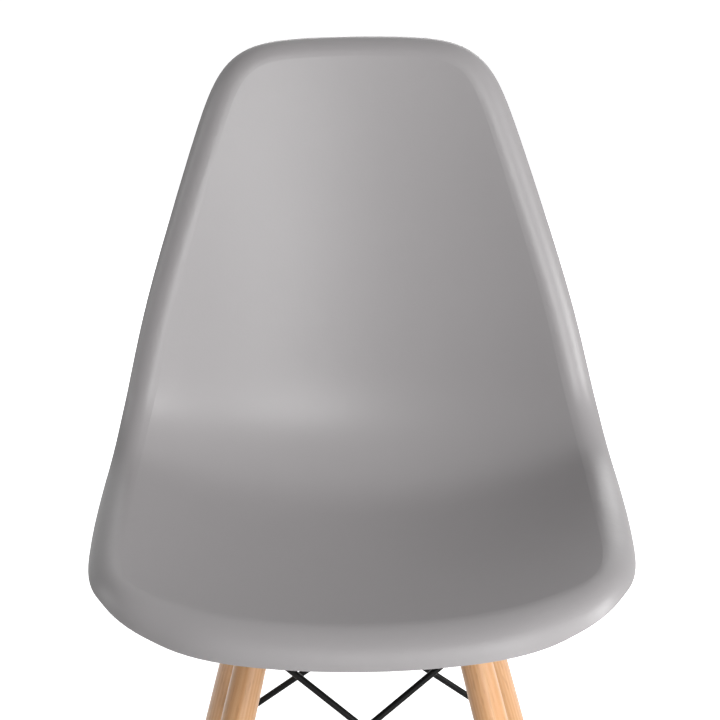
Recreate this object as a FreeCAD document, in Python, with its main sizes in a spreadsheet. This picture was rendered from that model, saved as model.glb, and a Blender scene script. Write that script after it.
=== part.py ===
import FreeCAD, Part
import math
import os

import Sketcher

# Side chair: a one-piece moulded plastic shell on four splayed beech dowel legs, braced by round
# steel rods that cross on each side. Millimetres, +Z up, floor at Z = 0. The chair faces -Y and
# the origin is on the floor under the middle of its outline. Left and right are the sitter's, so
# left is +X.

SIZES = (
    # The spine: the shell's middle line, from the front crease of the seat to the top crease.
    ("seat_length", 256, "seat, from its front crease to the start of the bend"),
    ("bend_radius", 124, "bend between seat and back"),
    ("back_length", 314, "back, from the end of the bend to its top crease"),
    ("front_slope", -5.7, "slope of the seat at its front crease, degrees"),
    ("seat_slope", 3.1, "slope where the bend starts, degrees"),
    ("back_slope", 73.5, "slope where the bend ends, degrees"),
    ("top_slope", 68.8, "slope at the top crease, degrees"),
    ("front_crease_y", -222.7, "front crease, in front of the origin"),
    ("front_crease_z", 436.5, "front crease, above the floor"),
    # How far the shell is hollowed from side to side: radius of its cross section.
    ("hollow_front", 900, "radius across at the front crease"),
    ("hollow_seat", 510, "radius across the seat"),
    ("hollow_waist", 400, "radius across the bend"),
    ("hollow_back", 433, "radius across the middle of the back"),
    ("hollow_top", 595, "radius across at the top crease"),
    ("hollow_seat_share", 0.55, "where the seat has its radius, share of the seat"),
    ("hollow_waist_share", 0.5, "where the bend has its radius, share of the bend"),
    ("hollow_back_share", 0.4, "where the back has its radius, share of the back"),
    # Control points of the crease outline, from the front edge round to the top edge: first
    # their places along the spine, then their half widths.
    ("front_edge_run", -4.2, "first control point, behind the front crease"),
    ("front_corner_run", 14.2, "second control point, behind the front crease"),
    ("front_flank_run", 31.7, "third control point, behind the front crease"),
    ("thigh_run", 109.3, "control point at the thighs, behind the front crease"),
    ("seat_share", 0.74, "control point at the middle of the seat, share of the seat"),
    ("hip_share", 0.16, "control point at the hips, share of the bend"),
    ("waist_share", 0.77, "control point at the waist, share of the bend"),
    ("lumbar_share", 0.19, "control point at the small of the back, share of the back"),
    ("rib_share", 0.5, "control point at the middle of the back, share of the back"),
    ("shoulder_run", 74, "control point at the shoulders, before the top crease"),
    ("top_corner_run", 23.5, "control point under the top corner, before the top crease"),
    ("top_bend_run", 11, "control point in the top corner, before the top crease"),
    ("top_edge_run", 9.5, "last control point, before the top crease"),
    ("half_front_edge", 100.9, "control width just ahead of the front crease"),
    ("half_front_corner", 151.8, "control width in the front corner"),
    ("half_front_flank", 205.9, "control width behind the front corner"),
    ("half_thigh", 207.9, "control width at the thighs"),
    ("half_seat", 207.6, "control width at the middle of the seat"),
    ("half_hip", 207.4, "control width at the hips"),
    ("half_waist", 199.6, "control width at the bend"),
    ("half_lumbar", 179.3, "control width at the small of the back"),
    ("half_rib", 148.8, "control width at the middle of the back"),
    ("half_shoulder", 123.7, "control width at the shoulders"),
    ("half_top_corner", 105, "control width under the top corner"),
    ("half_top_bend", 70.5, "control width in the top corner"),
    ("half_top_edge", 10, "control width at the top edge"),
    # The edge of the shell rolls outward and down all the way round.
    ("lip_front", 37.5, "roll radius along the front edge"),
    ("lip_corner", 23.6, "roll radius in the front corners"),
    ("lip_side", 24.6, "roll radius beside the seat"),
    ("lip_back", 22, "roll radius round the back"),
    ("lip_corner_run", 41.5, "where the corner's roll has its radius, behind the front crease"),
    ("lip_side_share", 0.6, "where the roll beside the seat has its radius, share of the seat"),
    ("lip_back_share", 0.55, "where the roll round the back has its radius, share of the bend"),
    ("lip_turn", 78, "angle through which the edge rolls, degrees"),
    ("wall", 4.8, "wall of the shell"),
    # Bosses under the seat.
    ("boss_radius", 14, "radius of a boss"),
    ("boss_foot_z", 415, "height of the bosses' lower faces"),
    ("seat_bolt_inset", 16.9, "seat bolts, in from the upright side of their brackets"),
    ("insert_radius", 4.5, "brass insert, outside"),
    ("insert_length", 10, "brass insert, length"),
    ("insert_room", 0.5, "empty end of the insert's hole"),
    # The base: four legs round a centre a little in front of the origin.
    ("base_y", -11.5, "centre of the base"),
    ("foot_reach", 260, "leg axis at the floor, out from the centre of the base"),
    ("leg_splay", 19.3, "lean of a leg from upright, degrees"),
    ("leg_top_z", 398, "height of a leg's upper end on its axis"),
    ("leg_foot_radius", 10.5, "leg at the foot"),
    ("leg_belly_radius", 14.6, "leg at its thickest"),
    ("leg_top_radius", 12.9, "leg at its upper end"),
    ("leg_belly_share", 0.7, "where the leg is thickest, as a share of the length"),
    ("leg_top_round", 2, "bevel of the upper end"),
    ("leg_flat", 12, "flat on the inner side, from the leg's axis"),
    ("leg_seat", 9, "floor of the recess for a bolt's head, from the leg's axis"),
    ("flat_margin", 22, "how far a flat runs past its bolt"),
    ("upper_bolt_z", 362, "upper bolt on the leg's axis"),
    ("lower_bolt_z", 190, "lower bolt on the leg's axis"),
    # Corner brackets of bent steel plate.
    ("plate", 3, "thickness of a bracket"),
    ("bracket_width", 20, "width of a bracket"),
    ("bracket_bend", 4, "inner radius of the bend"),
    ("bracket_round", 5, "rounded corners at the ends of a bracket"),
    ("bracket_tail", 9, "bracket past its leg bolt"),
    ("ear_length", 16, "bracket past its seat bolt"),
    ("screw_rise", 20, "wood screw above the upper bolt, along the leg"),
    # Bracing rods.
    ("rod_radius", 3, "radius of a rod"),
    ("tab_thickness", 3, "flattened end of a rod"),
    ("tab_radius", 6, "round of the flattened end"),
    ("tab_neck", 9, "width of the flattened end beside the rod"),
    ("knee", 12, "from the bolt to the bend of the rod"),
    ("crossing_gap", 0.5, "air between two rods where they cross"),
    # Fasteners.
    ("bolt_radius", 3, "bolts"),
    ("bolt_clearance", 0.3, "gap round a bolt in its hole"),
    ("head_radius", 5.8, "bolt head"),
    ("head_height", 3.3, "bolt head"),
    ("socket_radius", 2.3, "hexagon socket, across its corners"),
    ("socket_depth", 2, "hexagon socket"),
    ("washer_radius", 6.4, "washers"),
    ("washer_thickness", 1.2, "washers"),
    ("nut_radius", 5.8, "nut, across its corners"),
    ("nut_height", 5.2, "nut"),
    ("bolt_proud", 1.6, "bolt past its nut"),
    ("screw_radius", 2, "wood screws"),
    ("screw_length", 16, "wood screws under the head"),
    ("screw_head_radius", 4, "wood screw head"),
    ("screw_head_height", 2.4, "wood screw head"),
    ("spacer_radius", 13, "rubber spacers"),
    ("spacer_height", 6, "rubber spacers"),
    # Glides under the feet.
    ("glide_radius", 9.5, "glide"),
    ("glide_height", 6, "glide"),
    ("glide_round", 1.5, "bevel of the glide's lower edge"),
    ("nail_radius", 1.5, "glide's nail"),
    ("nail_length", 20, "nail above the glide"),
    ("nail_head_radius", 3.5, "nail head"),
    ("nail_head_height", 1.2, "nail head, sunk in the glide"),
)

document = FreeCAD.newDocument("shell_chair")
sheet = document.addObject("Spreadsheet::Sheet", "sizes")
for line, (name, value, meaning) in enumerate(SIZES, start=1):
    sheet.set(f"A{line}", meaning)
    sheet.set(f"B{line}", str(value))
    sheet.setAlias(f"B{line}", name)
document.recompute()

Vector = FreeCAD.Vector
Placement = FreeCAD.Placement
Rotation = FreeCAD.Rotation
UP = Vector(0, 0, 1)


def size(name):
    return float(getattr(sheet, name))


def radians(name):
    return math.radians(size(name))


pieces = []


def keep(piece, label):
    """Name a finished sub-part, which is then checked and written under that name."""
    piece.Label = label
    pieces.append(piece)
    return piece


def fixed_piece(label, shape, placement=None):
    piece = document.addObject("Part::Feature", label)
    piece.Shape = shape
    if placement:
        piece.Placement = placement
    return keep(piece, label)


# The shell
#
# Its main surface is a sheet with two directions, both in real millimetres: "run" goes along the
# spine from the front crease, "side" goes across. The crease outline is drawn on that sheet, and
# outside it the edge rolls outward and down as an arc.

SHEET_MARGIN = 50
RUN_SPAN_COUNT = 20
SIDE_SPAN_COUNT = 12
LIP_STATION_COUNT = 91
LIP_POINT_COUNT = 7
EXTRA_STATION_COUNT = 3
SEWING_GAP = 0.05
SMALL_STEP = 0.001


def spine_arcs():
    """The spine as three arcs: (slope at the start, slope at the end, length)."""
    front, seat = radians("front_slope"), radians("seat_slope")
    back, top = radians("back_slope"), radians("top_slope")
    bend_length = size("bend_radius") * (back - seat)
    return (
        (front, seat, size("seat_length")),
        (seat, back, bend_length),
        (back, top, size("back_length")),
    )


SPINE_ARCS = spine_arcs()
SPINE_LENGTH = sum(length for _, _, length in SPINE_ARCS)
BEND_LENGTH = SPINE_ARCS[1][2]


def along_arc(y, z, start, end, length, run):
    turn = (end - start) / length
    slope = start + turn * run
    y = y + (math.sin(slope) - math.sin(start)) / turn
    z = z - (math.cos(slope) - math.cos(start)) / turn
    return y, z, slope


def spine(run):
    """Y, Z and slope of the spine; it goes on straight past both creases."""
    y, z, slope = size("front_crease_y"), size("front_crease_z"), SPINE_ARCS[0][0]
    if run > 0:
        for start, end, length in SPINE_ARCS:
            step = min(run, length)
            y, z, slope = along_arc(y, z, start, end, length, step)
            run -= step
            if run <= 0:
                return y, z, slope
    return y + run * math.cos(slope), z + run * math.sin(slope), slope


def between(place, places, values):
    """Straight interpolation, held constant past both ends."""
    if place <= places[0]:
        return values[0]
    for low, high, first, last in zip(places, places[1:], values, values[1:]):
        if place <= high:
            return first + (last - first) * (place - low) / (high - low)
    return values[-1]


def eased(place, places, values):
    """Interpolation with level ends at each place, for a size that must change smoothly."""
    if place <= places[0]:
        return values[0]
    for low, high, first, last in zip(places, places[1:], values, values[1:]):
        if place <= high:
            share = (place - low) / (high - low)
            return first + (last - first) * share * share * (3 - 2 * share)
    return values[-1]


def on_seat(share):
    """Run of the place at a share of the seat's length."""
    return size(share) * size("seat_length")


def on_bend(share):
    return size("seat_length") + size(share) * BEND_LENGTH


def on_back(share):
    return size("seat_length") + BEND_LENGTH + size(share) * size("back_length")


HOLLOW_PLACES = (
    0,
    on_seat("hollow_seat_share"),
    on_bend("hollow_waist_share"),
    on_back("hollow_back_share"),
    SPINE_LENGTH,
)
HOLLOW_BENDS = [
    1 / size(name)
    for name in ("hollow_front", "hollow_seat", "hollow_waist", "hollow_back", "hollow_top")
]
HALF_SHEET = size("half_seat") + SHEET_MARGIN


def even_steps(first, last, spans):
    return [first + (last - first) * step / spans for step in range(spans + 1)]


def knot_averages(knots):
    """Where each pole of a cubic sits: the mean of its three inner knots."""
    padded = [knots[0]] * 3 + knots + [knots[-1]] * 3
    return [sum(padded[i + 1:i + 4]) / 3 for i in range(len(padded) - 4)]


def dish_surface(depth):
    """The main surface, or its copy moved by depth towards the underside."""
    run_knots = even_steps(-SHEET_MARGIN, SPINE_LENGTH + SHEET_MARGIN, RUN_SPAN_COUNT)
    side_knots = even_steps(-HALF_SHEET, HALF_SHEET, SIDE_SPAN_COUNT)
    poles = []
    for run in knot_averages(run_knots):
        y, z, slope = spine(run)
        bend = between(run, HOLLOW_PLACES, HOLLOW_BENDS)
        row = []
        for side in knot_averages(side_knots):
            angle = side * bend
            across = (1 / bend + depth) * math.sin(angle)
            rise = 1 / bend - (1 / bend + depth) * math.cos(angle)
            row.append(Vector(across, y - rise * math.sin(slope), z + rise * math.cos(slope)))
        poles.append(row)
    surface = Part.BSplineSurface()
    surface.buildFromPolesMultsKnots(
        poles,
        [4] + [1] * (RUN_SPAN_COUNT - 1) + [4],
        [4] + [1] * (SIDE_SPAN_COUNT - 1) + [4],
        run_knots, side_knots, False, False, 3, 3,
    )
    return surface


def crease_outline():
    """Closed cubic on the sheet, in (run, side); its parameter is 0 in the middle of the front."""
    half = (
        (size("front_edge_run"), "half_front_edge"),
        (size("front_corner_run"), "half_front_corner"),
        (size("front_flank_run"), "half_front_flank"),
        (size("thigh_run"), "half_thigh"),
        (on_seat("seat_share"), "half_seat"),
        (on_bend("hip_share"), "half_hip"),
        (on_bend("waist_share"), "half_waist"),
        (on_back("lumbar_share"), "half_lumbar"),
        (on_back("rib_share"), "half_rib"),
        (SPINE_LENGTH - size("shoulder_run"), "half_shoulder"),
        (SPINE_LENGTH - size("top_corner_run"), "half_top_corner"),
        (SPINE_LENGTH - size("top_bend_run"), "half_top_bend"),
        (SPINE_LENGTH - size("top_edge_run"), "half_top_edge"),
    )
    left = [FreeCAD.Base.Vector2d(run, size(name)) for run, name in half]
    right = [FreeCAD.Base.Vector2d(run, -size(name)) for run, name in reversed(half)]
    poles = left + right
    knots = [step + 1.5 for step in range(len(poles) + 1)]
    outline = Part.Geom2d.BSplineCurve2d()
    outline.buildFromPolesMultsKnots(poles, [1] * len(knots), knots, True, 3)
    return outline, len(poles)


LIP_PLACES = (0, size("lip_corner_run"), on_seat("lip_side_share"), on_bend("lip_back_share"))
LIP_RADII = (size("lip_front"), size("lip_corner"), size("lip_side"), size("lip_back"))


def lip_section(surface, outline, place, inset):
    """Points of the rolled edge, from the crease outward, at one place of the outline."""
    spot = outline.value(place)
    heading = outline.tangent(place)
    point = surface.value(spot.x, spot.y)
    along_run = surface.value(spot.x + SMALL_STEP, spot.y) - surface.value(spot.x - SMALL_STEP, spot.y)
    along_side = surface.value(spot.x, spot.y + SMALL_STEP) - surface.value(spot.x, spot.y - SMALL_STEP)
    edge = (along_run * heading.x + along_side * heading.y).normalize()
    upward = along_run.cross(along_side).normalize()
    if upward.z - upward.y < 0:
        upward = -upward
    outward = edge.cross(upward).normalize()
    nearest_run = max(size("lip_front"), min(spot.x, SPINE_LENGTH - size("lip_front")))
    middle = surface.value(nearest_run, 0)
    if outward.dot(point - middle) < 0:
        outward = -outward
    radius = eased(spot.x, LIP_PLACES, LIP_RADII) - inset
    section = []
    for number in range(LIP_POINT_COUNT):
        angle = radians("lip_turn") * number / (LIP_POINT_COUNT - 1)
        out, drop = radius * math.sin(angle), radius * (1 - math.cos(angle))
        section.append(point + outward * out - upward * drop)
    return section


def lip_face(surface, outline, first, last, inset):
    """Half of the rolled edge. Extra sections past its ends keep both halves in line there."""
    sections = []
    for number in range(-EXTRA_STATION_COUNT, LIP_STATION_COUNT + EXTRA_STATION_COUNT + 1):
        place = first + (last - first) * number / LIP_STATION_COUNT
        sections.append(lip_section(surface, outline, place, inset))
    rolled = Part.BSplineSurface()
    rolled.interpolate(sections)
    start = rolled.parameter(sections[EXTRA_STATION_COUNT][0])[0]
    end = rolled.parameter(sections[-EXTRA_STATION_COUNT - 1][0])[0]
    rolled.segment(start, end, 0, 1)
    return rolled.toShape()


def long_edges(face):
    """The crease and the rim of half a rolled edge; the rim is the longer one."""
    return sorted(face.Edges, key=lambda edge: edge.Length)[-2:]


def dish_face(surface, lips):
    creases = [long_edges(lip)[0] for lip in lips]
    face = Part.Face(surface, Part.Wire(Part.__sortEdges__(creases)))
    face.fix(SEWING_GAP / 5, SEWING_GAP / 5, SEWING_GAP)
    return face


def shell_wall():
    outline, count = crease_outline()
    faces = []
    rims = []
    for depth in (0, size("wall")):
        surface = dish_surface(depth)
        lips = [
            lip_face(surface, outline, 0, count / 2, depth),
            lip_face(surface, outline, count / 2, count, depth),
        ]
        faces.append(dish_face(surface, lips))
        faces.extend(lips)
        rims.append([long_edges(lip)[1] for lip in lips])
    for outer, inner in zip(*rims):
        faces.append(Part.makeRuledSurface(outer, inner))
    skin = Part.Compound(faces)
    skin.sewShape(SEWING_GAP)
    solid = Part.Solid(skin.Shells[0])
    if solid.Volume < 0:
        solid.reverse()
    return solid


# The base's own geometry

CORNERS = {"front_left": -45, "rear_left": 45, "rear_right": 135, "front_right": 225}
SIDES = {
    "front": ("front_left", "front_right"),
    "left": ("rear_left", "front_left"),
    "rear": ("rear_right", "rear_left"),
    "right": ("front_right", "rear_right"),
}
SPLAY = radians("leg_splay")


def round_base(degrees):
    """Turn a piece about the upright axis through the centre of the base."""
    return Placement(Vector(0, size("base_y"), 0), Rotation(UP, degrees))


def leg_reach(height):
    """How far out the leg's axis is at a height."""
    return size("foot_reach") - height * math.tan(SPLAY)


def leg_frame(degrees):
    """A leg's own frame: origin on its foot, Z up its axis, X outward."""
    foot = Vector(leg_reach(size("glide_height")), 0, size("glide_height"))
    lean = Rotation(Vector(0, 1, 0), -math.degrees(SPLAY))
    return round_base(degrees).multiply(Placement(foot, lean))


def up_leg(height):
    """Distance along the leg's axis from its foot to a height above the floor."""
    return (height - size("glide_height")) / math.cos(SPLAY)


UPPER = up_leg(size("upper_bolt_z"))
LOWER = up_leg(size("lower_bolt_z"))
SCREW = UPPER + size("screw_rise")
BOLT_HOLE = size("bolt_radius") + size("bolt_clearance")
FIRST_TAB = size("leg_flat") + size("tab_thickness") / 2
SECOND_TAB = FIRST_TAB + size("tab_thickness")
EAR_TOP = size("boss_foot_z") - size("spacer_height")
EAR_FOOT = EAR_TOP - size("plate")
BRACKET_INNER = leg_reach(EAR_FOOT) - (size("leg_flat") + size("plate")) / math.cos(SPLAY)
SEAT_BOLT_REACH = BRACKET_INNER - size("seat_bolt_inset")


# Turned and pressed pieces, made as bodies

XZ, XY, YZ = "XZ_Plane", "XY_Plane", "YZ_Plane"


def new_body(name):
    return document.addObject("PartDesign::Body", name)


def plane_of(body, role):
    return next(item for item in body.Origin.OriginFeatures if item.Role == role)


def sketch_on(body, role, offset=None):
    sketch = body.newObject("Sketcher::SketchObject", f"{body.Name}_sketch")
    sketch.AttachmentSupport = [(plane_of(body, role), "")]
    sketch.MapMode = "FlatFace"
    if offset:
        sketch.AttachmentOffset = offset
    return sketch


def polygon(sketch, corners):
    """Closed outline through corners, given as pairs of formulas of the sheet."""
    spots = [Vector(worth(x), worth(y), 0) for x, y in corners]
    count = len(corners)
    for here, there in zip(spots, spots[1:] + spots[:1]):
        sketch.addGeometry(Part.LineSegment(here, there), False)
    for line in range(count):
        sketch.addConstraint(Sketcher.Constraint("Coincident", line, 2, (line + 1) % count, 1))
    for line, (x, y) in enumerate(corners):
        hold(sketch, "DistanceX", -2, line, x, spots[line].x)
        hold(sketch, "DistanceY", -1, line, y, spots[line].y)


def hold(sketch, kind, axis, line, formula, value):
    """Hold one coordinate of a line's start: on the axis where it is 0, or else at the formula."""
    if formula == "0":
        sketch.addConstraint(Sketcher.Constraint("PointOnObject", line, 1, axis))
        return
    number = sketch.addConstraint(Sketcher.Constraint(kind, -1, 1, line, 1, value))
    sketch.setExpression(f"Constraints[{number}]", formula)


def worth(formula):
    return float(sheet.evalExpression(formula.replace("sizes.", "")))


def circle(sketch, x, y, radius):
    """Circle held by formulas of the sheet; x is 0 or a formula."""
    spot = Vector(worth(x), worth(y), 0)
    line = sketch.addGeometry(Part.Circle(spot, Vector(0, 0, 1), worth(radius)), False)
    number = sketch.addConstraint(Sketcher.Constraint("Radius", line, worth(radius)))
    sketch.setExpression(f"Constraints[{number}]", radius)
    for kind, axis, formula, value in (("DistanceX", -2, x, spot.x), ("DistanceY", -1, y, spot.y)):
        if formula == "0":
            sketch.addConstraint(Sketcher.Constraint("PointOnObject", line, 3, axis))
        else:
            number = sketch.addConstraint(Sketcher.Constraint(kind, -1, 1, line, 3, value))
            sketch.setExpression(f"Constraints[{number}]", formula)


def rectangle(left, right, low, high):
    return [(left, low), (right, low), (right, high), (left, high)]


def turned(name, corners):
    """A body turned about its own Z axis from an outline of (radius, height) formulas."""
    body = new_body(name)
    sketch = sketch_on(body, XZ)
    polygon(sketch, corners)
    turning = body.newObject("PartDesign::Revolution", f"{name}_turning")
    turning.Profile = sketch
    turning.ReferenceAxis = (sketch, ["V_Axis"])
    turning.Angle = 360
    sketch.Visibility = False
    document.recompute()
    return body


SMALLEST_CUT = 1


def cut_pocket(body, sketch, length, symmetric=False, reverse=False):
    """Pocket that must take something away."""
    before = body.Shape.Volume
    pocket = body.newObject("PartDesign::Pocket", f"{sketch.Name}_pocket")
    pocket.Profile = sketch
    pocket.Type = "Length"
    pocket.Length = length
    if symmetric:
        pocket.SideType = "Symmetric"
    pocket.Reversed = reverse
    document.recompute()
    if body.Shape.Volume > before - SMALLEST_CUT:
        raise RuntimeError(f"{sketch.Name} cuts nothing")
    return pocket


def group(label, master, places):
    """Identical loose pieces as one sub-part: a separate solid at each place."""
    return fixed_piece(label, Part.makeCompound([moved(master.Shape, place) for place in places]))


def moved(shape, place):
    copy = shape.copy()
    copy.Placement = place.multiply(copy.Placement)
    return copy


# Seat shell, with its bosses

POST_HEIGHT = size("front_crease_z") + size("lip_front") - size("boss_foot_z")

wall = shell_wall()
bosses = []
insert_holes = []
for degrees in CORNERS.values():
    foot = round_base(degrees).multVec(Vector(SEAT_BOLT_REACH, 0, size("boss_foot_z")))
    post = Part.makeCylinder(size("boss_radius"), POST_HEIGHT, foot).cut(wall)
    bosses.append(min(post.Solids, key=lambda solid: solid.CenterOfMass.z))
    hole_depth = size("insert_length") + size("insert_room")
    insert_holes.append(Part.makeCylinder(size("insert_radius"), hole_depth, foot))
seat = wall.multiFuse(bosses).cut(Part.makeCompound(insert_holes))
fixed_piece("seat_shell", seat.Solids[0])

SEAT_SPOTS = [
    round_base(degrees).multiply(Placement(Vector(SEAT_BOLT_REACH, 0, 0), Rotation()))
    for degrees in CORNERS.values()
]


def at_seat_bolts(height):
    """The four seat bolt axes, upright, at a height above the floor."""
    return [spot.multiply(Placement(Vector(0, 0, height), Rotation())) for spot in SEAT_SPOTS]


def ring_outline(inner, outer, height):
    return [(inner, "0"), (outer, "0"), (outer, height), (inner, height)]


INSERT = ring_outline("sizes.bolt_radius", "sizes.insert_radius", "sizes.insert_length")
insert = turned("insert_master", INSERT)
group("threaded_inserts", insert, at_seat_bolts(size("boss_foot_z")))

HOLE = "sizes.bolt_radius + sizes.bolt_clearance"
SPACER = ring_outline(HOLE, "sizes.spacer_radius", "sizes.spacer_height")
spacer = turned("spacer_master", SPACER)
group("rubber_spacers", spacer, at_seat_bolts(EAR_TOP))

WASHER = ring_outline(HOLE, "sizes.washer_radius", "sizes.washer_thickness")
washer = turned("washer_master", WASHER)
group("seat_washers", washer, at_seat_bolts(EAR_FOOT - size("washer_thickness")))


# Corners of a domed head, as shares of its radius and its height.
DOME = ((1, 0), (1, 0.35), (0.82, 0.78), (0.5, 1), (0, 1))


def bolt(name, length):
    """Dome-headed bolt: shank from 0 up to its length, head above it, hexagon socket in the head."""
    head = [
        (f"{out} * sizes.head_radius" if out else "0", f"{length} + {rise} * sizes.head_height")
        for out, rise in DOME
    ]
    shank = [("0", "0"), ("sizes.bolt_radius", "0"), ("sizes.bolt_radius", length)]
    top = f"({length} + sizes.head_height)"
    body = turned(name, shank + head)
    socket = body.newObject("PartDesign::SubtractivePrism", f"{name}_socket")
    socket.Polygon = 6
    socket.setExpression("Circumradius", "sizes.socket_radius")
    socket.setExpression("Height", "sizes.socket_depth")
    socket.AttachmentSupport = [(plane_of(body, XY), "")]
    socket.MapMode = "FlatFace"
    socket.setExpression(".AttachmentOffset.Base.z", f"{top} - sizes.socket_depth")
    document.recompute()
    return body


def hex_nut(name):
    blank = document.addObject("Part::Prism", f"{name}_blank")
    blank.Polygon = 6
    blank.setExpression("Circumradius", "sizes.nut_radius")
    blank.setExpression("Height", "sizes.nut_height")
    bore = document.addObject("Part::Cylinder", f"{name}_bore")
    bore.setExpression("Radius", "sizes.bolt_radius")
    bore.setExpression("Height", "sizes.nut_height")
    nut = document.addObject("Part::Cut", name)
    nut.Base = blank
    nut.Tool = bore
    document.recompute()
    return nut


def upside_down(places):
    return [place.multiply(Placement(Vector(), Rotation(Vector(1, 0, 0), 180))) for place in places]


SEAT_GRIP = "sizes.washer_thickness + sizes.plate + sizes.spacer_height + sizes.insert_length"
seat_bolt = bolt("seat_bolt_master", f"({SEAT_GRIP})")
SEAT_BOLT_TIP = size("boss_foot_z") + size("insert_length")
group("seat_bolts", seat_bolt, upside_down(at_seat_bolts(SEAT_BOLT_TIP)))

# Legs

LEG_LENGTH_WORDS = "(sizes.leg_top_z - sizes.glide_height) / cos(sizes.leg_splay * 1 deg)"
BOLT_RISE = "(sizes.{0}_bolt_z - sizes.glide_height) / cos(sizes.leg_splay * 1 deg)"
UPPER_RISE = BOLT_RISE.format("upper")
LOWER_RISE = BOLT_RISE.format("lower")


def dowel_profile(sketch):
    """Half section of a leg: two flat arcs that meet at its thickest place, and a bevelled top.

    Heights count from one foot radius below the foot, where the saw cut takes the end away.
    """
    foot = "sizes.leg_foot_radius"
    belly_height = f"sizes.leg_belly_share * {LEG_LENGTH_WORDS} + {foot}"
    top = f"{LEG_LENGTH_WORDS} + {foot}"
    stops = [
        ("0", "0"),
        (foot, "0"),
        ("sizes.leg_belly_radius", belly_height),
        ("sizes.leg_top_radius", f"{top} - sizes.leg_top_round"),
        ("sizes.leg_top_radius - sizes.leg_top_round", top),
        ("0", top),
    ]
    spots = [Vector(worth(x), worth(y), 0) for x, y in stops]
    count = len(stops)
    for line, (here, there) in enumerate(zip(spots, spots[1:] + spots[:1])):
        if line in (1, 2):
            sketch.addGeometry(flat_arc(here, there, spots[2]), False)
        else:
            sketch.addGeometry(Part.LineSegment(here, there), False)
    for line in range(count):
        sketch.addConstraint(Sketcher.Constraint("Coincident", line, 2, (line + 1) % count, 1))
    for line, (x, y) in enumerate(stops):
        hold(sketch, "DistanceX", -2, line, x, spots[line].x)
        hold(sketch, "DistanceY", -1, line, y, spots[line].y)
    for arc in (1, 2):
        number = sketch.addConstraint(Sketcher.Constraint("DistanceY", -1, 1, arc, 3, spots[2].y))
        sketch.setExpression(f"Constraints[{number}]", belly_height)


def flat_arc(here, there, level):
    """Arc between two points whose centre is beside the point called level."""
    other = there if level == here else here
    bulge = level.x - other.x
    radius = (bulge ** 2 + (level.y - other.y) ** 2) / (2 * bulge)
    centre = level - Vector(radius, 0, 0)
    angles = sorted((spot - centre).y / radius for spot in (here, there))
    rim = Part.Circle(centre, Vector(0, 0, 1), radius)
    return Part.ArcOfCircle(rim, math.asin(angles[0]), math.asin(angles[1]))


def screw_depth():
    """How far a bracket's wood screw goes into the leg, from the flat."""
    return size("screw_length") - size("plate")


def leg_body(name):
    body = new_body(name)
    profile = sketch_on(body, XZ, Placement(Vector(0, -size("leg_foot_radius"), 0), Rotation()))
    dowel_profile(profile)
    dowel = body.newObject("PartDesign::Revolution", f"{name}_dowel")
    dowel.Profile = profile
    dowel.ReferenceAxis = (profile, ["V_Axis"])
    dowel.Angle = 360
    document.recompute()

    # The foot is sawn level with the floor: the sketch starts beside the foot and looks down.
    saw = sketch_on(body, XZ)
    reach = 2 * size("leg_foot_radius")
    beside = Vector(reach * math.cos(SPLAY), -reach * math.sin(SPLAY), 0)
    saw.AttachmentOffset = Placement(beside, Rotation(UP, 180 - math.degrees(SPLAY)))
    polygon(saw, rectangle("0", "4 * sizes.leg_foot_radius", "0", "2 * sizes.leg_foot_radius"))
    cut_pocket(body, saw, 4 * size("leg_foot_radius"), symmetric=True)

    # Flats on the inner side: a short one for the lower bolt, and one up to the leg's end.
    for low, high in (
        (f"{UPPER_RISE} - sizes.flat_margin", f"{LEG_LENGTH_WORDS} + 1"),
        (f"{LOWER_RISE} - sizes.flat_margin", f"{LOWER_RISE} + sizes.flat_margin"),
    ):
        flat = sketch_on(body, XZ)
        flat.AttachmentOffset = Placement(Vector(), Rotation(Vector(0, 1, 0), 180))
        polygon(flat, rectangle("sizes.leg_flat", "2 * sizes.leg_flat", low, high))
        cut_pocket(body, flat, 4 * size("leg_flat"), symmetric=True)

    # Bolt holes right through, with recesses on the outer side that sink the heads.
    for rise in (UPPER_RISE, LOWER_RISE):
        hole = sketch_on(body, YZ)
        circle(hole, "0", rise, HOLE)
        cut_pocket(body, hole, 4 * size("leg_belly_radius"), symmetric=True)
        seat_face = sketch_on(body, YZ)
        seat_face.setExpression(".AttachmentOffset.Base.z", "sizes.leg_seat")
        circle(seat_face, "0", rise, "sizes.washer_radius + sizes.bolt_clearance")
        cut_pocket(body, seat_face, size("leg_belly_radius"), reverse=True)

    # Pilot hole for the bracket's wood screw, and one for the glide's nail.
    pilot = sketch_on(body, YZ)
    pilot.AttachmentOffset = Placement(Vector(0, 0, screw_depth() - size("leg_flat")), Rotation())
    circle(pilot, "0", f"{UPPER_RISE} + sizes.screw_rise", "sizes.screw_radius")
    cut_pocket(body, pilot, size("leg_belly_radius") + screw_depth())
    nail = body.newObject("PartDesign::SubtractiveCylinder", f"{name}_nail_hole")
    nail.setExpression("Radius", "sizes.nail_radius")
    nail.setExpression("Height", "sizes.nail_length")
    nail.AttachmentSupport = [(plane_of(body, XY), "")]
    nail.MapMode = "FlatFace"
    nail.AttachmentOffset = Placement(Vector(), Rotation(Vector(0, 1, 0), math.degrees(SPLAY)))
    document.recompute()
    return body


for corner, degrees in CORNERS.items():
    leg = leg_body(f"leg_{corner}")
    leg.Placement = leg_frame(degrees)
    keep(leg, f"leg_{corner}")
document.recompute()


def along_leg_bolt(rise, out):
    """At each leg, a place on the bolt axis at a rise up the leg, with its Z pointing outward."""
    step = Placement(Vector(out, 0, rise), Rotation(Vector(0, 1, 0), 90))
    return [leg_frame(degrees).multiply(step) for degrees in CORNERS.values()]


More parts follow.
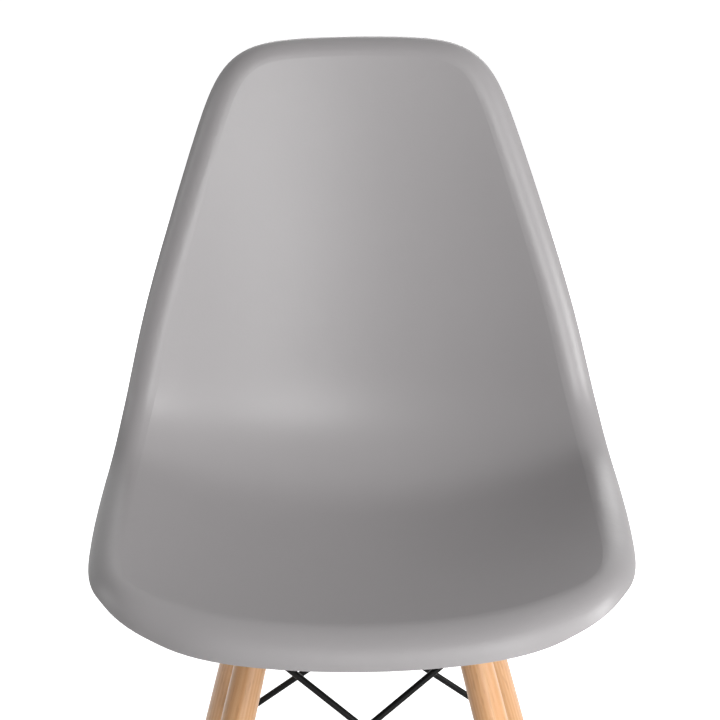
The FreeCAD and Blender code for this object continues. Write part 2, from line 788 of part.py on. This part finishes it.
TAB_STACK = "2 * sizes.tab_thickness + sizes.washer_thickness + sizes.nut_height + sizes.bolt_proud"
LOWER_GRIP = f"(sizes.leg_seat + sizes.washer_thickness + sizes.leg_flat + {TAB_STACK})"
UPPER_GRIP = f"({LOWER_GRIP} + sizes.plate)"
HEAD_SEAT = size("leg_seat") + size("washer_thickness")
upper_bolt = bolt("upper_bolt_master", UPPER_GRIP)
lower_bolt = bolt("lower_bolt_master", LOWER_GRIP)
group("upper_leg_bolts", upper_bolt, along_leg_bolt(UPPER, HEAD_SEAT - worth(UPPER_GRIP)))
group("lower_leg_bolts", lower_bolt, along_leg_bolt(LOWER, HEAD_SEAT - worth(LOWER_GRIP)))

UPPER_TABS = -size("leg_flat") - size("plate") - 2 * size("tab_thickness")
LOWER_TABS = -size("leg_flat") - 2 * size("tab_thickness")
washer_places = along_leg_bolt(UPPER, size("leg_seat")) + along_leg_bolt(LOWER, size("leg_seat"))
nut_places = []
for rise, tabs in ((UPPER, UPPER_TABS), (LOWER, LOWER_TABS)):
    washer_places += along_leg_bolt(rise, tabs - size("washer_thickness"))
    nut_places += along_leg_bolt(rise, tabs - size("washer_thickness") - size("nut_height"))
group("leg_washers", washer, washer_places)
nut = hex_nut("nut_master")
group("leg_nuts", nut, nut_places)

# The head of a wood screw narrows to this share of its radius.
SCREW_CROWN = 0.6

screw = turned("screw_master", [
    ("0", "0"),
    ("sizes.screw_radius", "sizes.screw_radius"),
    ("sizes.screw_radius", "sizes.screw_length"),
    ("sizes.screw_head_radius", "sizes.screw_length"),
    (f"{SCREW_CROWN} * sizes.screw_head_radius", "sizes.screw_length + sizes.screw_head_height"),
    ("0", "sizes.screw_length + sizes.screw_head_height"),
])
face_inward = Placement(Vector(), Rotation(Vector(1, 0, 0), 180))
group("bracket_screws", screw, [
    place.multiply(face_inward)
    for place in along_leg_bolt(SCREW, screw_depth() - size("leg_flat"))
])

# Corner brackets: a flange down the inner side of the leg, and an ear under the seat's boss.


INWARD = Vector(-math.cos(SPLAY), 0, -math.sin(SPLAY))
UP_LEG = Vector(-math.sin(SPLAY), 0, math.cos(SPLAY))
NEAR = 0.01


def at_height(start, height):
    """Where the line up the leg from a point reaches a height."""
    return start + UP_LEG * ((height - start.z) / UP_LEG.z)


def edges_at(shape, spots):
    """The edges whose middle is on one of the given spots."""
    return [
        edge for edge in shape.Edges
        if min((edge.CenterOfMass - spot).Length for spot in spots) < NEAR
    ]


def bracket_shape():
    """The bracket of a leg that leans along X: its profile in XZ, widened, bent and drilled."""
    bolt_spot = Vector(leg_reach(size("upper_bolt_z")), 0, size("upper_bolt_z"))
    outer = bolt_spot + INWARD * size("leg_flat")
    inner = outer + INWARD * size("plate")
    tail = UP_LEG * size("bracket_tail")
    ear_end = SEAT_BOLT_REACH - size("ear_length")
    corners = [
        outer - tail,
        at_height(outer, EAR_TOP),
        Vector(ear_end, 0, EAR_TOP),
        Vector(ear_end, 0, EAR_FOOT),
        at_height(inner, EAR_FOOT),
        inner - tail,
    ]
    half_width = Vector(0, size("bracket_width") / 2, 0)
    profile = Part.makePolygon([corner - half_width for corner in corners + corners[:1]])
    blank = Part.Face(profile).extrude(half_width * 2)
    outer_bend = size("bracket_bend") + size("plate")
    blank = blank.makeFillet(outer_bend, edges_at(blank, [corners[1]]))
    blank = blank.makeFillet(size("bracket_bend"), edges_at(blank, [corners[4]]))
    ends = [
        (first + last) / 2 + side
        for first, last in ((corners[0], corners[5]), (corners[2], corners[3]))
        for side in (half_width, -half_width)
    ]
    blank = blank.makeFillet(size("bracket_round"), edges_at(blank, ends))
    screw_spot = bolt_spot + UP_LEG * size("screw_rise")
    screw_hole = size("screw_radius") + size("bolt_clearance")
    drill_length = size("leg_flat") + 2 * size("plate")
    seat_hole_start = Vector(SEAT_BOLT_REACH, 0, EAR_FOOT - size("plate"))
    drills = [
        Part.makeCylinder(BOLT_HOLE, drill_length, bolt_spot, INWARD),
        Part.makeCylinder(screw_hole, drill_length, screw_spot, INWARD),
        Part.makeCylinder(BOLT_HOLE, 3 * size("plate"), seat_hole_start),
    ]
    return blank.cut(Part.makeCompound(drills))


bracket = bracket_shape()
for corner, degrees in CORNERS.items():
    fixed_piece(f"bracket_{corner}", bracket, round_base(degrees))

# Bracing rods: on each side two rods cross, each from one leg's upper bolt to the other's lower.
# Their tabs lie on each other on the bolts. One rod is straight; the one on the outer side is
# bowed out where they cross, so that they don't touch.


def tab_places(start_corner, end_corner, tab_out):
    """At a rod's two tabs: the middle, the way that the leg faces, and the way to the other tab."""
    places = []
    for corner, rise, shift in ((start_corner, UPPER, size("plate")), (end_corner, LOWER, 0)):
        frame = leg_frame(CORNERS[corner])
        spot = frame.multVec(Vector(-tab_out - shift, 0, rise))
        places.append((spot, frame.Rotation.multVec(Vector(1, 0, 0))))
    (start, start_face), (end, end_face) = places
    span = (end - start).normalize()
    return [
        (spot, face, (heading - face * heading.dot(face)).normalize())
        for spot, face, heading in ((start, start_face, span), (end, end_face, -span))
    ]


def rod_knees(tabs):
    """The two ends of a rod's round part, flush with the outer faces of its tabs."""
    inset = size("rod_radius") - size("tab_thickness") / 2
    return [spot + flat_way * size("knee") - face * inset for spot, face, flat_way in tabs]


def bow_spot(outer_knees, inner_knees):
    """Where the outer rod is bent: at the crossing, moved out until it clears the inner rod."""
    start, end = outer_knees
    along, other = end - start, inner_knees[1] - inner_knees[0]
    apart = along.cross(other).normalize()
    gap = (start - inner_knees[0]).dot(apart)
    if gap < 0:
        apart, gap = -apart, -gap
    sideways = other.cross(apart)
    share = (inner_knees[0] - start).dot(sideways) / along.dot(sideways)
    return start + along * share + apart * (2 * size("rod_radius") + size("crossing_gap") - gap)


def brace_shape(tabs, stops):
    """A round rod through its stops, with a flattened, drilled tab at each end."""
    runs = [
        Part.makeCylinder(size("rod_radius"), (there - here).Length, here, there - here)
        for here, there in zip(stops, stops[1:])
    ]
    bends = [Part.makeSphere(size("rod_radius"), stop) for stop in stops]
    ends = [tab_shape(spot, face, flat_way) for spot, face, flat_way in tabs]
    brace = runs[0].multiFuse(runs[1:] + bends + ends)
    for spot, face, _ in tabs:
        hole_start = spot - face * size("tab_thickness")
        brace = brace.cut(Part.makeCylinder(BOLT_HOLE, 2 * size("tab_thickness"), hole_start, face))
    return brace


def tab_shape(spot, face, flat_way):
    thickness = size("tab_thickness")
    knee = size("knee")
    under = spot - face * (thickness / 2)
    disc = Part.makeCylinder(size("tab_radius"), thickness, under, face)
    across = face.cross(flat_way)
    half_neck = across * (size("tab_neck") / 2)
    neck_outline = Part.makePolygon([
        under - half_neck,
        under + half_neck,
        under + half_neck + flat_way * knee,
        under - half_neck + flat_way * knee,
        under - half_neck,
    ])
    neck = Part.Face(neck_outline).extrude(face * thickness)
    return disc.fuse(neck)


for side, (left, right) in SIDES.items():
    outer_tabs = tab_places(left, right, FIRST_TAB)
    inner_tabs = tab_places(right, left, SECOND_TAB)
    outer_knees = rod_knees(outer_tabs)
    inner_knees = rod_knees(inner_tabs)
    bow = bow_spot(outer_knees, inner_knees)
    fixed_piece(f"brace_{side}_outer", brace_shape(outer_tabs, [outer_knees[0], bow, outer_knees[1]]))
    fixed_piece(f"brace_{side}_inner", brace_shape(inner_tabs, inner_knees))

# Glides, nailed to the level feet

RECESS = "0.25 * sizes.glide_height"
glide = turned("glide_master", [
    ("sizes.nail_head_radius", "0"),
    ("sizes.glide_radius - sizes.glide_round", "0"),
    ("sizes.glide_radius", "sizes.glide_round"),
    ("sizes.glide_radius", "sizes.glide_height"),
    ("sizes.nail_radius", "sizes.glide_height"),
    ("sizes.nail_radius", f"{RECESS} + sizes.nail_head_height"),
    ("sizes.nail_head_radius", f"{RECESS} + sizes.nail_head_height"),
])
nail = turned("nail_master", [
    ("0", RECESS),
    ("sizes.nail_head_radius", RECESS),
    ("sizes.nail_head_radius", f"{RECESS} + sizes.nail_head_height"),
    ("sizes.nail_radius", f"{RECESS} + sizes.nail_head_height"),
    ("sizes.nail_radius", "sizes.glide_height + sizes.nail_length - sizes.nail_radius"),
    ("0", "sizes.glide_height + sizes.nail_length"),
])
foot_places = [
    round_base(degrees).multiply(Placement(Vector(leg_reach(size("glide_height")), 0, 0), Rotation()))
    for degrees in CORNERS.values()
]
for corner, place in zip(CORNERS, foot_places):
    fixed_piece(f"glide_{corner}", glide.Shape, place)
group("glide_nails", nail, foot_places)
document.recompute()


os.makedirs("parts", exist_ok=True)
for item in document.Objects:
    if "Invalid" in item.State or "Error" in item.State:
        raise RuntimeError(f"{item.Name} failed")
for piece in pieces:
    shape = piece.Shape
    if shape.isNull() or not shape.isValid():
        raise RuntimeError(f"{piece.Label} has no valid shape")
    shape.exportStep(f"parts/{piece.Label}.step")
    print(piece.Label, len(shape.Solids), round(shape.Volume), shape.BoundBox)
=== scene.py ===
# %% [markdown]
# A moulded plastic shell chair on turned beech legs
#
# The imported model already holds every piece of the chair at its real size. This lesson
# gives the pieces their finish: grained polypropylene for the seat shell, lacquered beech
# for the legs, black powder coat for the steel base. Everything is in metres, Z points
# up and the front of the chair faces -Y.

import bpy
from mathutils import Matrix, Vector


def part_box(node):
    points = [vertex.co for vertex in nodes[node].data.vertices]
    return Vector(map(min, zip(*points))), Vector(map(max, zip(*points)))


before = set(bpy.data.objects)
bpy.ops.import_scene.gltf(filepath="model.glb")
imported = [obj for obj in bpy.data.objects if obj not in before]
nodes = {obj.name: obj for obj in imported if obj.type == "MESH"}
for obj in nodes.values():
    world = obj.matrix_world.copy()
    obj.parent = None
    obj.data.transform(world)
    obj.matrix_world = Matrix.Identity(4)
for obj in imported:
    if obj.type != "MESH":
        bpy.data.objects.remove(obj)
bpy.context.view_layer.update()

# %% [markdown]
# Helpers
#
# Colours are written as on a paint card, in sRGB hex, and turned to linear in one place.
# One more helper adds a node, sets its options and fills or links its inputs, so that a
# material reads as a short list of steps.

# %% Colours and nodes
import math

import bmesh
import bpy
from mathutils import Matrix, Vector

MM = 0.001
scene = bpy.context.scene
scene.view_settings.view_transform = "Standard"


def rgb(hex_code):
    """The linear colour of an sRGB hex value, with an alpha of 1."""
    shares = [int(hex_code[i:i + 2], 16) / 255 for i in (1, 3, 5)]
    return [s / 12.92 if s <= 0.04045 else ((s + 0.055) / 1.055) ** 2.4 for s in shares] + [1.0]


def add_node(tree, kind, settings, inputs):
    """Add a node, set its options, and fill or link its inputs."""
    node = tree.nodes.new("ShaderNode" + kind)
    for name, value in settings.items():
        setattr(node, name, value)
    for name, value in inputs.items():
        if isinstance(value, bpy.types.NodeSocket):
            tree.links.new(value, node.inputs[name])
        else:
            node.inputs[name].default_value = value
    return node


print("white is", rgb("#FFFFFF"))

# %% [markdown]
# The camera
#
# The picture that this chair is matched to was taken from half a metre above the chair and
# over two metres away, with a long lens: the sides of the shell hardly converge. A camera
# can follow a target, but here it is placed by where it stands, how far it looks down and
# its small roll, because these three are what a match to a picture gives.

# %% Camera
CAMERA_PLACE = (0.66 * MM, -2314.8 * MM, 1350.5 * MM)
LOOK_DOWN = math.radians(18.22)
ROLL = math.radians(0.76)
LENS = 139.15
SENSOR = 36

camera = bpy.data.objects.new("camera", bpy.data.cameras.new("camera"))
scene.collection.objects.link(camera)
camera.data.sensor_width = SENSOR
camera.data.lens = LENS
tilt = Matrix.Rotation(math.radians(90) - LOOK_DOWN, 4, "X")
camera.matrix_world = Matrix.Translation(CAMERA_PLACE) @ tilt @ Matrix.Rotation(-ROLL, 4, "Z")
scene.camera = camera
print("camera at", CAMERA_PLACE, "looking down", round(math.degrees(LOOK_DOWN), 2), "degrees")

# %% [markdown]
# The floor
#
# A plain white floor takes the chair's shadow. The eye should see white paper, so the
# floor gives back a little light of its own, but only to what looks at it: the lens,
# and mirror-like or clear surfaces. For the soft light that bounces between surfaces it
# stays a plain matt white, so its glow doesn't light the chair. Near the chair the glow is
# weaker, so that the shadow shows; further out it is full white, like the room behind.

# %% Floor
FLOOR_SIZE = 24.0
GLOW_NEAR = 0.45
GLOW_FAR = 1.0
SHADOW_NEAR = 0.25
SHADOW_FAR = 0.55

floor_mesh = bpy.data.meshes.new("floor")
shape = bmesh.new()
bmesh.ops.create_grid(shape, x_segments=1, y_segments=1, size=FLOOR_SIZE / 2)
shape.to_mesh(floor_mesh)
shape.free()
floor = bpy.data.objects.new("floor", floor_mesh)
scene.collection.objects.link(floor)
print("floor of", FLOOR_SIZE, "m, full white from", SHADOW_FAR, "m outward")

# %% [markdown]
# White paper
#
# The floor's finish is matt paper: rough, with hardly any gloss. The same few nodes tell
# the rays of the lens and of mirrors from soft light, here and for the room.

# %% Paper
PAPER_ROUGHNESS = 0.9
PAPER_GLOSS = 0.1


def seen_directly(tree):
    """1 for rays from the lens, a mirror or glass, and 0 for soft light."""
    path = add_node(tree, "LightPath", {}, {})
    gloss = add_node(tree, "Math", {"operation": "MAXIMUM"},
                     {0: path.outputs["Is Camera Ray"], 1: path.outputs["Is Glossy Ray"]})
    return add_node(tree, "Math", {"operation": "MAXIMUM"},
                    {0: gloss.outputs[0], 1: path.outputs["Is Transmission Ray"]}).outputs[0]


paper = bpy.data.materials.new("white_paper_floor")
paper.use_nodes = True
tree = paper.node_tree
surface = tree.nodes["Principled BSDF"]
surface.inputs["Base Color"].default_value = rgb("#F2F2F2")
surface.inputs["Roughness"].default_value = PAPER_ROUGHNESS
surface.inputs["Specular IOR Level"].default_value = PAPER_GLOSS
surface.inputs["Emission Color"].default_value = rgb("#FFFFFF")
place = add_node(tree, "TexCoord", {}, {}).outputs["Object"]
away = add_node(tree, "VectorMath", {"operation": "LENGTH"}, {0: place})
level = add_node(tree, "MapRange", {},
                 {"Value": away.outputs["Value"], "From Min": SHADOW_NEAR,
                  "From Max": SHADOW_FAR, "To Min": GLOW_NEAR, "To Max": GLOW_FAR})
glow = add_node(tree, "Math", {"operation": "MULTIPLY"},
                {0: seen_directly(tree), 1: level.outputs[0]})
tree.links.new(glow.outputs[0], surface.inputs["Emission Strength"])
floor_mesh.materials.append(paper)
print("floor finish", paper.name)

# %% [markdown]
# The light
#
# The hollow's left flank and the right lip are the brightest places, and the seat is darker
# than the back. So two softboxes stand a little right of the lens, one low and one high, and
# a third at the right side. The high one is mirrored as a soft band where the seat turns
# into the back. A weak one at the left and one behind draw the edges and light the back.

# %% Lamps
LIT_POINT = Vector((0, 0, 600 * MM))
LAMP_DISTANCE = 2.6


def softbox(name, around, above, width, height, power):
    """A soft area lamp that looks at the shell from an angle around and above the front."""
    lamp = bpy.data.lights.new(name, "AREA")
    lamp.shape = "RECTANGLE"
    lamp.size = width
    lamp.size_y = height
    lamp.energy = power
    holder = bpy.data.objects.new(name, lamp)
    scene.collection.objects.link(holder)
    turn = Matrix.Rotation(math.radians(around), 4, "Z")
    lift = Matrix.Rotation(math.radians(90 - above), 4, "X")
    holder.matrix_world = (Matrix.Translation(LIT_POINT) @ turn @ lift
                           @ Matrix.Translation((0, 0, LAMP_DISTANCE)))
    print(name, power, "W from", around, "degrees around and", above, "above")


# Each lamp has its degrees around and above, its width and height in metres, and its watts.
softbox("front_low", 22, 4, 1.0, 1.4, 20)
softbox("front_high", 20, 36, 1.0, 1.2, 29)
softbox("side_right", 69, 20, 1.0, 1.2, 46)
softbox("edge_left", -98, 24, 1.0, 1.4, 9)
softbox("back", 172, 8, 1.6, 1.2, 22)

# %% [markdown]
# The room
#
# The lens and every glossy surface see a white room. It could be built from walls, but a
# plain white world does the same. For soft light the room is almost dark, because the chair
# is modelled by its lamps: the seat has to stay darker than the back.

# %% Room
ROOM_LIGHT = 0.01

world = bpy.data.worlds.new("white_room")
scene.world = world
world.use_nodes = True
tree = world.node_tree
background = tree.nodes["Background"]
background.inputs["Color"].default_value = rgb("#FFFFFF")
strength = add_node(tree, "MapRange", {},
                    {"Value": seen_directly(tree), "To Min": ROOM_LIGHT, "To Max": 1.0})
tree.links.new(strength.outputs[0], background.inputs["Strength"])
print("room light", ROOM_LIGHT)

# %% [markdown]
# Starting a material
#
# Every finish begins with the same two things: an opaque surface with its colour,
# roughness and metal, and the coordinates of the piece itself.

# %% Material starter


def start_material(name, colour, roughness, metallic=0.0):
    """A node material with its surface, its node tree and the piece's own coordinates."""
    material = bpy.data.materials.new(name)
    material.use_nodes = True
    tree = material.node_tree
    surface = tree.nodes["Principled BSDF"]
    surface.inputs["Base Color"].default_value = rgb(colour)
    surface.inputs["Roughness"].default_value = roughness
    surface.inputs["Metallic"].default_value = metallic
    place = add_node(tree, "TexCoord", {}, {}).outputs["Object"]
    return material, tree, surface, place


# %% [markdown]
# Moulded polypropylene
#
# The shell is injection moulded in one shot. The mould is spark eroded, which leaves a
# fine, even grain that breaks up reflections to a satin sheen. The real grain is about
# 0.3 mm, too fine to show, so it is drawn at about two millimetres. The plastic flows in
# from one gate, and its tone drifts a very little over a hand's width. The grain could be a
# picture wrapped round the shell, but a noise on the shell's own coordinates needs no seams
# and is equally fine on every curve.

# %% Shell plastic
GRAIN = 2.2 * MM
GRAIN_DEPTH = 0.045 * MM
FLOW_MARK = 90 * MM
SHELL_IOR = 1.52
SHELL_SMOOTH = 0.34
SHELL_ROUGH = 0.44

shell_plastic, tree, surface, place = start_material("moulded_polypropylene", "#989596", 0.4)
surface.inputs["IOR"].default_value = SHELL_IOR
flow = add_node(tree, "TexNoise", {}, {"Vector": place, "Scale": 1 / FLOW_MARK, "Detail": 2.0})
tone = add_node(tree, "Mix", {"data_type": "RGBA"},
                {0: flow.outputs["Fac"], 6: rgb("#979495"), 7: rgb("#9A9798")})
tree.links.new(tone.outputs[2], surface.inputs["Base Color"])
grain = add_node(tree, "TexNoise", {}, {"Vector": place, "Scale": 1 / GRAIN, "Detail": 2.0})
relief = add_node(tree, "Bump", {},
                  {"Height": grain.outputs["Fac"], "Distance": GRAIN_DEPTH, "Strength": 1.0})
tree.links.new(relief.outputs["Normal"], surface.inputs["Normal"])
sheen = add_node(tree, "MapRange", {}, {"Value": grain.outputs["Fac"],
                                        "To Min": SHELL_SMOOTH, "To Max": SHELL_ROUGH})
tree.links.new(sheen.outputs[0], surface.inputs["Roughness"])
print(shell_plastic.name, "with a grain of", round(GRAIN / MM, 1), "mm")

# %% [markdown]
# Turned beech
#
# Beech is warm and even, with faint growth layers, fine streaks and many short darker flecks
# along the grain. Each leg is turned from a straight board, so the grain runs along the leg,
# and each leg leans another way: a Mapping node turns the pattern upright for each one. The
# wood could be a picture of a board, but bands and noises that fill the space run through the
# leg as the layers of a real board do. A thin matt lacquer lies over the wood.

# %% Beech
LEG_SPLAY = math.radians(19.3)
LAYER = 3.2 * MM
FLECK_WIDTH = 0.9 * MM
FLECK_LENGTH = 6 * MM
PORE = 0.7 * MM
PORE_DEPTH = 0.04 * MM
LAYER_RUN = 0.12
STREAK_RUN = 0.03
STREAK_SHARE = 0.25
FLECK_SHARE = 0.25
WOOD_IOR = 1.5
LACQUER_WEIGHT = 0.35
LACQUER_ROUGHNESS = 0.36


def beech(corner, foot):
    """Lacquered beech whose grain runs along a leg that leans in from its foot."""
    material, tree, surface, place = start_material("lacquered_beech_" + corner, "#D8A472", 0.4)
    azimuth = math.atan2(foot.y, foot.x)
    upright = Matrix.Rotation(LEG_SPLAY, 3, "Y") @ Matrix.Rotation(-azimuth, 3, "Z")
    along = add_node(tree, "Mapping", {},
                     {"Vector": place, "Rotation": upright.to_euler(),
                      "Location": -(upright @ foot)}).outputs["Vector"]
    # Each pattern is drawn out along the leg. Bands repeat every pi / 10 at a scale of 1.
    drift = add_node(tree, "Mapping", {}, {"Vector": along, "Scale": (1, 1, LAYER_RUN)})
    layers = add_node(tree, "TexWave", {"wave_type": "BANDS", "bands_direction": "X"},
                      {"Vector": drift.outputs["Vector"], "Scale": math.pi / 10 / LAYER,
                       "Distortion": 5.0, "Detail": 3.0, "Detail Scale": 0.6})
    layer_tone = add_node(tree, "Mix", {"data_type": "RGBA"},
                          {0: layers.outputs["Fac"], 6: rgb("#D7A06D"), 7: rgb("#E0AF7F")})
    streaks = add_node(tree, "Mapping", {}, {"Vector": along, "Scale": (1, 1, STREAK_RUN)})
    fine = add_node(tree, "TexNoise", {},
                    {"Vector": streaks.outputs["Vector"], "Scale": 1 / PORE, "Detail": 3.0})
    fine_share = add_node(tree, "MapRange", {},
                          {"Value": fine.outputs["Fac"], "From Min": 0.35, "From Max": 0.65,
                           "To Min": 0.0, "To Max": STREAK_SHARE})
    streak_tone = add_node(tree, "Mix", {"data_type": "RGBA"},
                           {0: fine_share.outputs[0], 6: layer_tone.outputs[2],
                            7: rgb("#C68E5B")})
    fleck_shape = add_node(tree, "Mapping", {},
                           {"Vector": along, "Scale": (1, 1, FLECK_WIDTH / FLECK_LENGTH)})
    flecks = add_node(tree, "TexNoise", {},
                      {"Vector": fleck_shape.outputs["Vector"], "Scale": 1 / FLECK_WIDTH / 2,
                       "Detail": 0.0})
    fleck_share = add_node(tree, "MapRange", {},
                           {"Value": flecks.outputs["Fac"], "From Min": 0.66,
                            "From Max": 0.74, "To Min": 0.0, "To Max": FLECK_SHARE})
    tone = add_node(tree, "Mix", {"data_type": "RGBA"},
                    {0: fleck_share.outputs[0], 6: streak_tone.outputs[2],
                     7: rgb("#A97448")})
    tree.links.new(tone.outputs[2], surface.inputs["Base Color"])
    relief = add_node(tree, "Bump", {}, {"Height": fine.outputs["Fac"],
                                         "Distance": PORE_DEPTH, "Strength": 1.0})
    tree.links.new(relief.outputs["Normal"], surface.inputs["Normal"])
    surface.inputs["IOR"].default_value = WOOD_IOR
    surface.inputs["Coat Weight"].default_value = LACQUER_WEIGHT
    surface.inputs["Coat Roughness"].default_value = LACQUER_ROUGHNESS
    return material


# %% [markdown]
# Powder coated steel
#
# Brackets and rods are mild steel under a satin black powder coat, which flows out to a faint
# ripple and hides the metal; the bolts, washers and nuts of the legs match them. The ripple
# is far too shallow to change an outline, so a bump is enough and the mesh stays as it is.
# The rods stand before a white room but hardly mirror it, so the coat's index of refraction
# starts from the 1.5 of polyester and is brought well down.

# %% Black steel
COAT_RIPPLE = 2.5 * MM
COAT_DEPTH = 0.05 * MM
COAT_IOR = 1.25
COAT_SMOOTH = 0.32
COAT_ROUGH = 0.46

black_steel, tree, surface, place = start_material("black_powder_coat_on_steel", "#050505", 0.38)
surface.inputs["IOR"].default_value = COAT_IOR
ripple = add_node(tree, "TexNoise", {}, {"Vector": place, "Scale": 1 / COAT_RIPPLE})
relief = add_node(tree, "Bump", {}, {"Height": ripple.outputs["Fac"], "Distance": COAT_DEPTH,
                                     "Strength": 1.0})
tree.links.new(relief.outputs["Normal"], surface.inputs["Normal"])
sheen = add_node(tree, "MapRange", {}, {"Value": ripple.outputs["Fac"],
                                        "To Min": COAT_SMOOTH, "To Max": COAT_ROUGH})
tree.links.new(sheen.outputs[0], surface.inputs["Roughness"])
print(black_steel.name, "with a ripple of", round(COAT_RIPPLE / MM, 1), "mm")

# %% [markdown]
# Plated steel and brass
#
# The bolts and screws under the seat and the nails of the glides are zinc plated, and the
# inserts in the plastic are turned brass. All are plain metal with faint marks from the tool
# or the bath, so tone and roughness vary a little together. One function makes both finishes,
# because they differ only in tone and gloss.

# %% Zinc and brass
TOOL_MARK = 0.8 * MM
SMOOTHER = 0.08
ROUGHER = 0.1


def turned_metal(name, dark, light, roughness):
    """Plated or bare metal with faint tool marks in its tone and roughness."""
    material, tree, surface, place = start_material(name, light, roughness, metallic=1.0)
    marks = add_node(tree, "TexNoise", {}, {"Vector": place, "Scale": 1 / TOOL_MARK,
                                            "Detail": 3.0})
    tone = add_node(tree, "Mix", {"data_type": "RGBA"},
                    {0: marks.outputs["Fac"], 6: rgb(dark), 7: rgb(light)})
    tree.links.new(tone.outputs[2], surface.inputs["Base Color"])
    sheen = add_node(tree, "MapRange", {}, {"Value": marks.outputs["Fac"],
                                            "To Min": roughness - SMOOTHER,
                                            "To Max": roughness + ROUGHER})
    tree.links.new(sheen.outputs[0], surface.inputs["Roughness"])
    return material


zinc_steel = turned_metal("bright_zinc_plate", "#B4B7BB", "#C9CCD0", 0.32)
insert_brass = turned_metal("turned_brass", "#B08D4A", "#C9A65F", 0.3)
print(zinc_steel.name, "and", insert_brass.name, "with marks of", round(TOOL_MARK / MM, 1), "mm")

# %% [markdown]
# Moulded rubber and polyethylene
#
# The spacers between shell and brackets are black rubber, the glides under the feet are
# tough dark polyethylene. Both come matt from the mould, with a fine grain, so they share a
# function too, and differ in tone, roughness and the size of the grain.

# %% Rubber and glide plastic
MOULD_DEPTH = 0.05 * MM


def moulded(name, dark, light, roughness, grain):
    """A matt moulded piece, of rubber or plastic, with a fine even grain."""
    material, tree, surface, place = start_material(name, light, roughness)
    pattern = add_node(tree, "TexNoise", {}, {"Vector": place, "Scale": 1 / grain})
    tone = add_node(tree, "Mix", {"data_type": "RGBA"},
                    {0: pattern.outputs["Fac"], 6: rgb(dark), 7: rgb(light)})
    tree.links.new(tone.outputs[2], surface.inputs["Base Color"])
    relief = add_node(tree, "Bump", {}, {"Height": pattern.outputs["Fac"],
                                         "Distance": MOULD_DEPTH, "Strength": 1.0})
    tree.links.new(relief.outputs["Normal"], surface.inputs["Normal"])
    return material


spacer_rubber = moulded("moulded_rubber", "#131313", "#1C1C1C", 0.75, 0.8 * MM)
glide_plastic = moulded("moulded_polyethylene", "#1F1F20", "#29292A", 0.45, 1.0 * MM)
print(spacer_rubber.name, "and", glide_plastic.name)

# %% [markdown]
# One finish for each piece
#
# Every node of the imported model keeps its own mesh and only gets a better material. Each
# leg has its own beech, because its grain is turned to that leg. What the list doesn't name
# is black: the brackets, the rods, and the bolts, washers and nuts of the legs.

# %% Give each piece its finish
CORNERS = ("front_left", "rear_left", "rear_right", "front_right")
FINISHES = {
    "seat_shell": shell_plastic,
    "threaded_inserts": insert_brass,
    "rubber_spacers": spacer_rubber,
    "seat_washers": zinc_steel,
    "seat_bolts": zinc_steel,
    "bracket_screws": zinc_steel,
    "glide_nails": zinc_steel,
}
for corner in CORNERS:
    low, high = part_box("glide_" + corner)
    FINISHES["leg_" + corner] = beech(corner, (low + high) / 2)
    FINISHES["glide_" + corner] = glide_plastic
for name, node in nodes.items():
    finish = FINISHES.get(name, black_steel)
    for slot in node.material_slots:
        slot.material = finish
    print(name, "gets", finish.name)
